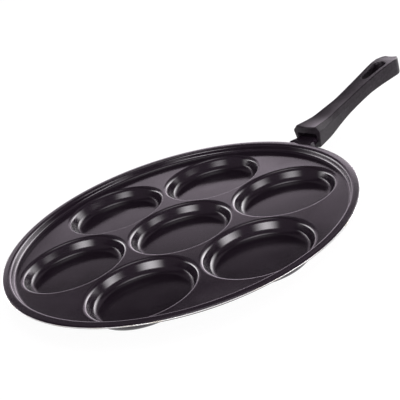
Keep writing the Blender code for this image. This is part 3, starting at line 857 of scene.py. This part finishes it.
# The mouth from its front to its end, each as reach and room.
MOUTH_RINGS = (
    (-RECESS, RECESS_ROOM),
    (RECESS, RECESS_ROOM),
    (RECESS, LEAD_IN_ROOM),
    (LEAD_IN, LEAD_IN_ROOM),
    (LEAD_IN, SNUG_ROOM),
    (TONGUE_LENGTH + TIP_ROOM, SNUG_ROOM),
)


def tongue_half(reach):
    return TONGUE_HALF_WIDTH - reach * (TONGUE_HALF_WIDTH - TIP_HALF_WIDTH) / TONGUE_LENGTH


def tongue_depth(reach):
    return TONGUE_DEPTH + (TIP_DEPTH - TONGUE_DEPTH) * min(max(reach / LEAD_IN, 0.0), 1.0)


def mouth_ring(reach, side, above, below):
    half = tongue_half(reach) + side
    low = -tongue_depth(reach) - below
    outline = closed_outline([(-half, low), (half, low), (half, above), (-half, above)], [MOUTH_ROUND] * 4)
    return across_handle(reach, outline)


mouth = skin_of("mouth", [mouth_ring(reach, *room) for reach, room in MOUTH_RINGS])
print("mouth", len(mouth.data.polygons), "faces")

# %% The screw's hole
COUNTERBORE_RADIUS = 4.3 * MM
COUNTERBORE_FOOT = TONGUE_TOP - 18.0 * MM
INSERT_SEAT_FOOT = TONGUE_TOP - 0.75 * MM
BORE_STEPS = 64


def turned_solid(name, profile):
    """A solid turned about the screw's axis, from (radius, height) pairs that run upwards."""
    return skin_of(name, [circle(SCREW_X, 0.0, z, radius, BORE_STEPS) for radius, z in profile])


screw_hole = turned_solid(
    "screw_hole",
    [
        (COUNTERBORE_RADIUS, COUNTERBORE_FOOT),
        (COUNTERBORE_RADIUS, WASHER_SEAT),
        (CLEAR_RADIUS, WASHER_SEAT),
        (CLEAR_RADIUS, INSERT_SEAT_FOOT),
        (INSERT_RADIUS + GAP, INSERT_SEAT_FOOT),
        (INSERT_RADIUS + GAP, INSERT_FOOT + INSERT_LENGTH + GAP),
    ],
)
print("screw's hole", len(screw_hole.data.polygons), "faces")

# %% The hanging slot
SLOT_TIP = 85.0 * MM
SLOT_TIP_RADIUS = 3.4 * MM
SLOT_ROUND = 105.3 * MM
SLOT_ROUND_RADIUS = 5.4 * MM
SLOT_THROUGH = 19.4 * MM
SLOT_STEPS = 24
BORDER_DEPTH = 1.6 * MM
BORDER_LEAN = 0.5
ABOVE_TOP = 2.1 * MM


def teardrop(margin):
    """The slot's outline in plan: an arc round each end and straight runs between them."""
    tip = SLOT_TIP_RADIUS + margin
    wide = SLOT_ROUND_RADIUS + margin
    reach = math.pi / 2 + math.asin((wide - tip) / (SLOT_ROUND - SLOT_TIP))
    outline = []
    for middle, radius, start, sweep in (
        (SLOT_ROUND, wide, -reach, 2 * reach),
        (SLOT_TIP, tip, reach, 2 * (math.pi - reach)),
    ):
        for step in range(SLOT_STEPS + 1):
            angle = start + sweep * step / SLOT_STEPS
            outline.append((middle + radius * math.cos(angle), radius * math.sin(angle)))
    return outline


def slot_ring(margin, depth):
    return [
        Vector((HEAD_FRONT + reach, y, TONGUE_TOP + section_at(reach).top - GRIP_DISH - depth))
        for reach, y in teardrop(margin)
    ]


border_margin = (BORDER_DEPTH + ABOVE_TOP) * BORDER_LEAN
hanging_slot = skin_of(
    "hanging_slot", [slot_ring(border_margin, -ABOVE_TOP), slot_ring(0.0, BORDER_DEPTH), slot_ring(0.0, SLOT_THROUGH)]
)
print("hanging slot", len(hanging_slot.data.polygons), "faces")

# %% The cuts made, and the edges softened
cut_with(handle_skin, [mouth, screw_hole, hanging_slot])
soften_edges(handle_skin, width=0.3 * MM, sharper_than=math.radians(38))
give_finish(handle_skin, phenolic)
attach(handle_skin, "root")
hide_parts("handle")
print("moulded handle", len(handle_skin.data.polygons), "faces")

# %% [markdown]
# The bracket is cut and folded from thicker sheet than the pan. Its tab follows the rim's curve, under the web, up
# behind the rim's wall and out, and is held by spot welds, which leave shallow round dimples. From the tab a
# channel with turned-down sides runs out to the tongue. It is built as two lofts joined by a Boolean.

# %% Sizes of the bracket
BRACKET_SHEET = 1.5 * MM
CHANNEL_TOP = 14.89 * MM
CHANNEL_HALF_WIDTH = 12.2 * MM
CHANNEL_DEPTH = 7.0 * MM
FOLD_ROUND = 2.5 * MM
FOLD_STEPS = 8
RIM_RADIUS = 135.0 * MM
RIM_WALL_FOOT = 127.672 * MM
TAB_REACH = 25.0 * MM
TAB_TOP = CHANNEL_TOP - 0.15 * MM
TAB_FOOT_ROUND = 2.0 * MM
TAB_HALF_ANGLE = math.radians(4.6)
TAB_STEPS = 12
# The channel from the rim to the tongue's tip, each as x, half width, top and depth.
CHANNEL_RINGS = (
    (131.0 * MM, CHANNEL_HALF_WIDTH, CHANNEL_TOP, CHANNEL_DEPTH),
    (135.8 * MM, CHANNEL_HALF_WIDTH, CHANNEL_TOP, CHANNEL_DEPTH),
    (138.0 * MM, CHANNEL_HALF_WIDTH, TONGUE_TOP, CHANNEL_DEPTH),
    (144.0 * MM, 10.4 * MM, TONGUE_TOP, 5.0 * MM),
    (HEAD_FRONT, TONGUE_HALF_WIDTH, TONGUE_TOP, TONGUE_DEPTH),
    (HEAD_FRONT + LEAD_IN, tongue_half(LEAD_IN), TONGUE_TOP, TIP_DEPTH),
    (HEAD_FRONT + TONGUE_LENGTH, TIP_HALF_WIDTH, TONGUE_TOP, TIP_DEPTH),
)
print("the bracket is", round(2 * CHANNEL_HALF_WIDTH / MM, 1), "mm wide at the rim")

# %% The channel and the tab


def folded(corners, radii):
    """The outline of a folded sheet: along its upper side, and back along its lower one."""
    line = filleted(corners, radii, FOLD_STEPS)
    return [p for p, _ in line] + pushed(line, BRACKET_SHEET)[::-1]


def channel_ring(x, half, top, depth):
    corners = [(-half, top - depth), (-half, top), (half, top), (half, top - depth)]
    return [Vector((x, p.x, p.y)) for p in folded(corners, [FOLD_ROUND] * 2)]


def tab_ring(angle):
    """The tab's section at an angle round the pan."""
    clear = SHEET + GAP
    wall = RIM_WALL_FOOT + clear / math.cos(RIM_WALL_LEAN)
    lean = math.tan(RIM_WALL_LEAN)
    low = WEB_TOP - clear
    corners = [
        (RIM_WALL_FOOT - TAB_REACH, low),
        (wall - clear * lean, low),
        (wall + (TAB_TOP - WEB_TOP) * lean, TAB_TOP),
        (RIM_RADIUS, TAB_TOP),
    ]
    outline = folded(corners, [TAB_FOOT_ROUND, FOLD_ROUND])
    return [Vector((math.cos(angle) * p.x, math.sin(angle) * p.x, p.y)) for p in outline]


channel = skin_of("bracket", [channel_ring(*ring) for ring in CHANNEL_RINGS])
tab = skin_of("tab", [tab_ring(TAB_HALF_ANGLE * (2 * step / TAB_STEPS - 1)) for step in range(TAB_STEPS + 1)])
cut_with(channel, [tab], "UNION")
print("channel and tab", len(channel.data.polygons), "faces")

# %% The screw's hole and the welds
DRILL_BELOW = 4.0 * MM
DRILL_ABOVE = 1.0 * MM
WELDS = ((109.0 * MM, 0.0), (118.0 * MM, 4.2 * MM), (118.0 * MM, -4.2 * MM))
DIMPLE_RADIUS = 2.6 * MM
DIMPLE_DEPTH = 0.45 * MM
DIMPLE_START = 0.05 * MM
DIMPLE_STEPS = 6
DIMPLE_SEGMENTS = 32


def weld_dimple(name, x, y):
    """A shallow lens that an electrode presses into the tab from below."""
    low = WEB_TOP - SHEET - GAP - BRACKET_SHEET - DIMPLE_START
    rings = [(low + DIMPLE_DEPTH * math.sin(a), DIMPLE_RADIUS * math.cos(a)) for a in quarter(DIMPLE_STEPS)]
    return skin_of(name, [circle(x, y, z, radius, DIMPLE_SEGMENTS) for z, radius in rings])


drill = turned_solid("drill", [(CLEAR_RADIUS, TONGUE_TOP - DRILL_BELOW), (CLEAR_RADIUS, TONGUE_TOP + DRILL_ABOVE)])
dimples = [weld_dimple(f"dimple_{k}", x, y) for k, (x, y) in enumerate(WELDS)]
cut_with(channel, [drill, *dimples])
soften_edges(channel, width=0.2 * MM, sharper_than=math.radians(34))
give_finish(channel, bracket_coat)
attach(channel, "root")
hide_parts("handle_bracket")
print("bracket", len(channel.data.polygons), "faces")

# %% [markdown]
# The three metal pieces of the fixing repeat a form round an axis or along a path, so they are trees. They are
# drawn round the Z axis and moved to the screw's place at the end. Only edges that are sharper than a set angle
# stay sharp.

# %% Helpers for the fixing
SHARP_ABOVE = math.radians(35)


def close_fixing(tree, shape, d):
    """Smooth faces, sharp edges where two faces meet at more than the angle, and the shape put in its place."""
    smooth = output_of(tree, "GeometryNodeSetShadeSmooth", {"domain": "FACE"}, Geometry=shape)
    turn = add_node(tree, "GeometryNodeInputMeshEdgeAngle").outputs["Unsigned Angle"]
    sharp = {"Selection": Number(tree, turn).through("GREATER_THAN", SHARP_ABOVE), "Shade_Smooth": False}
    edged = output_of(tree, "GeometryNodeSetShadeSmooth", {"domain": "EDGE"}, Geometry=smooth, **sharp)
    close_tree(tree, moved(tree, edged, d["Axis"], d["Height"]), d["Finish"])


def swept(tree, path, profile):
    """The profile drawn along the path, upright all the way, with closed ends."""
    upright = output_of(tree, "GeometryNodeSetCurveNormal", {"mode": "Z_UP"}, Curve=path)
    return output_of(tree, "GeometryNodeCurveToMesh", Curve=upright, Profile_Curve=profile, Fill_Caps=True)


def drawn_in(tree, geometry, share_of):
    """The geometry with each point's distance from the Z axis times a share that its place gives."""
    x, y, z = parts_of(tree, output_of(tree, "GeometryNodeInputPosition"))
    share = share_of(x, y, z)
    place = vector_of(tree, x * share, y * share, z)
    return output_of(tree, "GeometryNodeSetPosition", Geometry=geometry, Position=place)


# %% [markdown]
# The screw is a pan-head machine screw. Its body is a spun line, its thread is a diamond swept along a spiral, and
# its cross recess is two tapered bars taken out of the head by a Boolean in the tree.

# %% The screw
WASHER_THICKNESS = 0.9 * MM
HEAD_HEIGHT = 2.5 * MM
SCREW_HEAD_LOW = WASHER_SEAT - 2 * GAP - WASHER_THICKNESS - HEAD_HEIGHT
REACH_IN_INSERT = 4.6 * MM
CHAMFER_SHARE = 0.3
NECK_SHARE = 0.1
HEAD_STEPS = 6
THREAD_STEPS = 28
THREAD_SIDES = 4
PLAIN_PITCHES = 0.8
screw_dials = {
    "Head radius": 4.0 * MM,
    "Head height": HEAD_HEIGHT,
    "Head crown": 1.1 * MM,
    "Core radius": 1.7 * MM,
    "Thread depth": 0.3 * MM,
    "Thread pitch": 0.7 * MM,
    "Length": INSERT_FOOT + REACH_IN_INSERT - SCREW_HEAD_LOW,
    "Recess length": 4.4 * MM,
    "Recess width": 1.0 * MM,
    "Recess depth": 1.7 * MM,
    "Recess taper": -0.45,
    "Segments": 64,
    "Axis": SCREW_X,
    "Height": SCREW_HEAD_LOW,
    "Finish": zinc_plate,
}
screw_tree, dial = open_tree("Screw", screw_dials)


def screw_body(tree, d):
    core, head, length = d["Core radius"], d["Head radius"], d["Length"]
    chamfer = core * CHAMFER_SHARE
    corners = [
        (0.0, length),
        (core - chamfer, length),
        (core, length - chamfer),
        (core, d["Head height"]),
        (head, d["Head height"]),
        (head, 0.0),
        (0.0, 0.0),
    ]
    line = rounded_line(tree, corners, [0.0, 0.0, 0.0, core * NECK_SHARE, d["Head crown"]], HEAD_STEPS)
    return merged(tree, spun(tree, line, d["Segments"]))


def recess_bar(tree, d, turn):
    """A bar that narrows as it goes up into the head."""
    size = vector_of(tree, d["Recess length"], d["Recess width"], d["Recess depth"] * 2)
    cube = output_of(tree, "GeometryNodeMeshCube", Size=size)
    bar = drawn_in(tree, cube, lambda x, y, z: z / d["Recess depth"] * d["Recess taper"] + 1.0)
    return output_of(tree, "GeometryNodeTransform", Geometry=bar, Rotation=vector_of(tree, 0.0, 0.0, turn))


def screw_thread(tree, d):
    pitch = d["Thread pitch"]
    run = d["Length"] - d["Head height"] - pitch * (2 * PLAIN_PITCHES)
    size = {"Start_Radius": d["Core radius"], "End_Radius": d["Core radius"], "Height": run}
    spiral = output_of(tree, "GeometryNodeCurveSpiral", Resolution=THREAD_STEPS, Rotations=run / pitch, **size)
    thread = swept(tree, spiral, circle_of(tree, THREAD_SIDES, d["Thread depth"]))
    return moved(tree, thread, 0.0, d["Head height"] + pitch * PLAIN_PITCHES)


cross = add_node(screw_tree, "GeometryNodeMeshBoolean", {"operation": "DIFFERENCE", "solver": "EXACT"})
feed(screw_tree, screw_body(screw_tree, dial), cross.inputs["Mesh 1"])
for turn in (0.0, math.pi / 2):
    feed(screw_tree, recess_bar(screw_tree, dial, turn), cross.inputs["Mesh 2"])
close_fixing(screw_tree, joined(screw_tree, [cross.outputs[0], screw_thread(screw_tree, dial)]), dial)
screw = made_by(screw_tree, "pan_head_screw", screw_dials)
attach(screw, "root")
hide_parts("handle_screw")

# %% [markdown]
# The split washer is a bar with softened corners, bent round into a ring that doesn't quite close: a rectangle
# swept along an arc. It is drawn flat, as it lies under a tight screw.

# %% The split washer
ARC_STEPS = 72
CORNER_STEPS = 3
washer_dials = {
    "Inner radius": CLEAR_RADIUS,
    "Outer radius": 3.8 * MM,
    "Thickness": WASHER_THICKNESS,
    "Corner": 0.12 * MM,
    "Slit": math.radians(14),
    "Axis": SCREW_X,
    "Height": WASHER_SEAT - GAP - WASHER_THICKNESS / 2,
    "Finish": spring_steel,
}
washer_tree, dial = open_tree("Split washer", washer_dials)
washer_path = output_of(
    washer_tree,
    "GeometryNodeCurveArc",
    {"mode": "RADIUS"},
    Resolution=ARC_STEPS,
    Radius=(dial["Inner radius"] + dial["Outer radius"]) / 2,
    Start_Angle=dial["Slit"] / 2,
    Sweep_Angle=dial["Slit"] * -1 + 2 * math.pi,
)
bar_size = {"Width": dial["Outer radius"] - dial["Inner radius"], "Height": dial["Thickness"]}
washer_bar = output_of(washer_tree, "GeometryNodeCurvePrimitiveQuadrilateral", **bar_size)
rounding = {"Radius": dial["Corner"], "Count": CORNER_STEPS}
washer_bar = output_of(washer_tree, "GeometryNodeFilletCurve", {"mode": "POLY"}, Curve=washer_bar, **rounding)
close_fixing(washer_tree, swept(washer_tree, washer_path, washer_bar), dial)
washer = made_by(washer_tree, "split_washer", washer_dials)
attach(washer, "root")
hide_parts("lock_washer")

# %% [markdown]
# The insert is turned from brass bar, with a groove round its middle and a knurl on both ends, so that the resin
# grips it. The knurl follows a rule: the radius falls and rises with the angle, a whole number of times round.

# %% The threaded insert
EDGE_STEPS = 2
# The groove's corners from its top down, as shares of the insert's length.
GROOVE_SHARES = (0.65, 0.55, 0.45, 0.35)
insert_dials = {
    "Radius": INSERT_RADIUS,
    "Bore": CLEAR_RADIUS,
    "Length": INSERT_LENGTH,
    "Groove": 0.4 * MM,
    "Edge": 0.1 * MM,
    "Knurl teeth": 24,
    "Knurl depth": 0.18 * MM,
    "Segments": 192,
    "Axis": SCREW_X,
    "Height": INSERT_FOOT,
    "Finish": brass,
}
insert_tree, dial = open_tree("Threaded insert", insert_dials)


def insert_tube(tree, d):
    outside, waist, bore, long = d["Radius"], d["Radius"] - d["Groove"], d["Bore"], d["Length"]
    groove = [(radius, long * share) for radius, share in zip((outside, waist, waist, outside), GROOVE_SHARES)]
    corners = [(bore, long), (outside, long), *groove, (outside, 0.0), (bore, 0.0), (bore, long)]
    line = rounded_line(tree, corners, [d["Edge"], 0.0, 0.0, 0.0, 0.0, d["Edge"], 0.0], EDGE_STEPS)
    return merged(tree, spun(tree, line, d["Segments"]))


def knurled(tree, geometry, d):
    def share_of(x, y, z):
        radius = (x * x + y * y).through("SQRT")
        outside = radius.through("GREATER_THAN", d["Radius"] - d["Groove"] / 2)
        tooth = (y.through("ARCTAN2", x) * d["Knurl teeth"]).cos() + 1.0
        return tooth * d["Knurl depth"] * 0.5 * outside / radius * -1 + 1.0

    return drawn_in(tree, geometry, share_of)


close_fixing(insert_tree, knurled(insert_tree, insert_tube(insert_tree, dial), dial), dial)
insert = made_by(insert_tree, "knurled_insert", insert_dials)
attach(insert, "root")
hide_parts("thread_insert")

# %% [markdown]
# The floor is a wide pale sheet. Its own colour is what makes the background white: to the camera it is partly
# its own light, so that it stays even, and partly lit, so that it keeps the pan's soft shadow.

# %% The floor
FLOOR_WIDTH = 12.0
FLOOR_LIT = (0.85, 0.85, 0.85, 1.0)
FLOOR_SEEN = (0.16, 0.16, 0.16, 1.0)
FLOOR_OWN_LIGHT = 0.92


def make_floor():
    bpy.ops.mesh.primitive_plane_add(size=FLOOR_WIDTH, location=(0.0, 0.0, 0.0))
    floor = bpy.context.object
    floor.name = "floor"
    material = bpy.data.materials.new("pale_floor")
    material.use_nodes = True
    tree = material.node_tree
    tree.nodes.clear()
    rays = add_node(tree, "ShaderNodeLightPath").outputs
    looked_at = Number(tree, rays["Is Camera Ray"]).through("MAXIMUM", rays["Is Glossy Ray"])
    lit = output_of(tree, "ShaderNodeBsdfDiffuse", Color=FLOOR_LIT)
    seen = output_of(tree, "ShaderNodeBsdfDiffuse", Color=FLOOR_SEEN)
    own = output_of(tree, "ShaderNodeEmission", Strength=FLOOR_OWN_LIGHT)
    even = in_order(tree, "ShaderNodeAddShader", None, seen, own)
    surface = in_order(tree, "ShaderNodeMixShader", None, looked_at, lit, even)
    add_node(tree, "ShaderNodeOutputMaterial", Surface=surface)
    floor.data.materials.append(material)
    print("floor:", [round(side, 2) for side in floor.dimensions], "m")


make_floor()

# %% [markdown]
# The light is a plain studio with five soft boxes. A dark satin coat shows little of its own colour and a lot of
# what it mirrors, so each box is placed for the patch that it leaves on the pan. The far wall of every well
# mirrors the two boxes in front: a small one low and near on the right, whose patch moves from well to well
# because it stands so close, and a larger one farther off on the left. The ends of the wells and of the rim
# mirror the two wide boxes beyond the pan's ends, and the round at the foot of a wall mirrors a weak one above. A
# real box is brightest in its middle, so the node tree of each light fades it to its edges, which keeps the
# patches soft. Boxes are placed by their bearing and rise in degrees as seen from the pan, and their strength is
# a radiance, so a bigger box isn't a brighter one.

# %% The lights


def fading(tree, across):
    """1 in the middle of a light's width or height, and smoothly down to 0 at its two edges."""
    ends = {"Value": (across - 0.5).through("ABSOLUTE"), "From_Min": 0.5, "From_Max": 0.0}
    return Number(tree, output_of(tree, "ShaderNodeMapRange", {"interpolation_type": "SMOOTHSTEP"}, **ends))


def soft_box(name, bearing, rise, distance, width, height, radiance):
    """A soft box that faces the pan, and whose brightness fades to its edges."""
    light = bpy.data.lights.new(name, "AREA")
    light.shape = "RECTANGLE"
    light.size = width
    light.size_y = height
    light.spread = math.pi
    light.energy = radiance * math.pi * width * height
    light.use_nodes = True
    tree = light.node_tree
    across, up, _ = parts_of(tree, add_node(tree, "ShaderNodeNewGeometry").outputs["Parametric"])
    feed(tree, fading(tree, across) * fading(tree, up), tree.nodes["Emission"].inputs["Strength"])
    holder = in_scene(name, light)
    bearing, rise = math.radians(bearing), math.radians(rise)
    away = Vector((math.cos(bearing) * math.cos(rise), math.sin(bearing) * math.cos(rise), math.sin(rise)))
    holder.location = away * distance
    holder.rotation_euler = (-away).to_track_quat("-Z", "Y").to_euler()
    holder.visible_camera = False
    print(name, "is", width, "x", height, "m at", distance, "m")


# Name, bearing, rise, distance, width, height and radiance.
for box in (
    ("box_right", 284.5, 10.5, 0.52, 0.52, 0.24, 13.0),
    ("box_left", 207.0, 15.0, 1.05, 1.15, 0.52, 13.0),
    ("side_right", 1.0, 15.0, 1.6, 2.4, 1.3, 9.0),
    ("side_left", 102.0, 7.0, 1.6, 2.2, 0.75, 7.5),
    ("box_above", 54.5, 86.0, 1.4, 1.1, 0.9, 3.6),
):
    soft_box(*box)

# %% [markdown]
# Behind the pan a pale wall is lit in bands, and the flat web and the floors of the wells mirror it: each flat
# shows the band at the rise that the camera's line bounces to, so the far wells mirror a low band and the near
# ones a high one. The bands are a ramp over the rise of the view direction, which is 0 at the horizon and 1
# straight up. To the left and right the bands are bent down, and the wall fades out towards the front, where only
# a faint even glow is left for the walls that face the camera. The camera itself sees plain white instead.

# %% The surround
GLOW = 4.5
GLOW_BY_RISE = (
    (0.0, 0.5), (0.18, 0.5), (0.23, 0.26), (0.27, 0.06), (0.31, 0.08), (0.345, 0.30), (0.378, 0.38),
    (0.402, 0.20), (0.43, 0.10), (0.447, 0.038), (0.47, 0.012), (0.50, 0.004), (0.56, 0.010), (0.68, 0.045),
)
GLOW_COLOUR = (1.0, 0.88, 1.0)
WALL_BEARING = math.radians(54.5)
SIDE_BOW = 30.0
BOW_START = 0.38
# From strength, to strength, and where on the direction's share towards the wall or its side that begins and ends.
WALL_FADE = (0.0, 1.0, 0.35, 0.60)
SIDE_TILT = (1.60, 0.80, -0.2, 0.08)
FRONT_FADE = (0.22, 0.0, 0.0, 0.35)


def make_surround():
    world = bpy.data.worlds.new("studio")
    bpy.context.scene.world = world
    world.use_nodes = True
    tree = world.node_tree
    towards = add_node(tree, "ShaderNodeTexCoord").outputs["Generated"]

    def along(*direction):
        node = add_node(tree, "ShaderNodeVectorMath", {"operation": "DOT_PRODUCT"})
        feed(tree, towards, node.inputs[0])
        feed(tree, direction, node.inputs[1])
        return Number(tree, node.outputs["Value"])

    rise = along(0.0, 0.0, 1.0)
    depth = along(math.cos(WALL_BEARING), math.sin(WALL_BEARING), 0.0)
    side = along(-math.sin(WALL_BEARING), math.cos(WALL_BEARING), 0.0)
    bowed = (rise - BOW_START).through("MAXIMUM", 0.0) * (side * side * SIDE_BOW)
    stops = [(height, [share * part for part in GLOW_COLOUR]) for height, share in GLOW_BY_RISE]
    back = tree.nodes["Background"]
    feed(tree, ramp_of(tree, rise + bowed, stops), back.inputs["Color"])
    feed(tree, spread(tree, depth, *WALL_FADE) * spread(tree, side, *SIDE_TILT) * GLOW, back.inputs["Strength"])
    glow = {"Color": (*GLOW_COLOUR, 1.0), "Strength": spread(tree, depth, *FRONT_FADE)}
    front = output_of(tree, "ShaderNodeBackground", **glow)
    white = output_of(tree, "ShaderNodeBackground", Color=(1.0, 1.0, 1.0, 1.0))
    lit = in_order(tree, "ShaderNodeAddShader", None, back.outputs[0], front)
    seen = add_node(tree, "ShaderNodeLightPath").outputs["Is Camera Ray"]
    choice = in_order(tree, "ShaderNodeMixShader", None, seen, lit, white)
    feed(tree, choice, tree.nodes["World Output"].inputs["Surface"])
    print("surround:", len(GLOW_BY_RISE), "steps in the lit wall")


make_surround()

# %% [markdown]
# The camera stands where the photograph was taken from. Its place and turn were solved from the ellipses of the
# wells, and its long lens keeps the pan nearly as wide at the back as at the front.

# %% The camera
PHOTO_WIDTH = 400
FOCAL_LENGTH = 853.65
SENSOR_WIDTH = 36.0
NEAR_CLIP = 0.01
RIGHT = Vector((0.713359, -0.649137, -0.264081))
DOWN = Vector((-0.454627, -0.141886, -0.879308))
FORWARD = Vector((0.533322, 0.747321, -0.396331))
PLACE = Vector((-0.3175618, -0.4790936, 0.2744001))


def make_camera():
    camera = bpy.data.cameras.new("camera")
    camera.sensor_width = SENSOR_WIDTH
    camera.lens = SENSOR_WIDTH * (FOCAL_LENGTH / PHOTO_WIDTH)
    camera.clip_start = NEAR_CLIP
    holder = in_scene("camera", camera)
    turn = Matrix((RIGHT, -DOWN, -FORWARD)).transposed().to_4x4()
    holder.matrix_world = Matrix.Translation(PLACE) @ turn
    bpy.context.scene.camera = holder
    print("camera is", round(PLACE.length, 3), "m from the pan, with a", round(camera.lens, 1), "mm lens")


make_camera()
bpy.context.scene.view_settings.view_transform = "Standard"
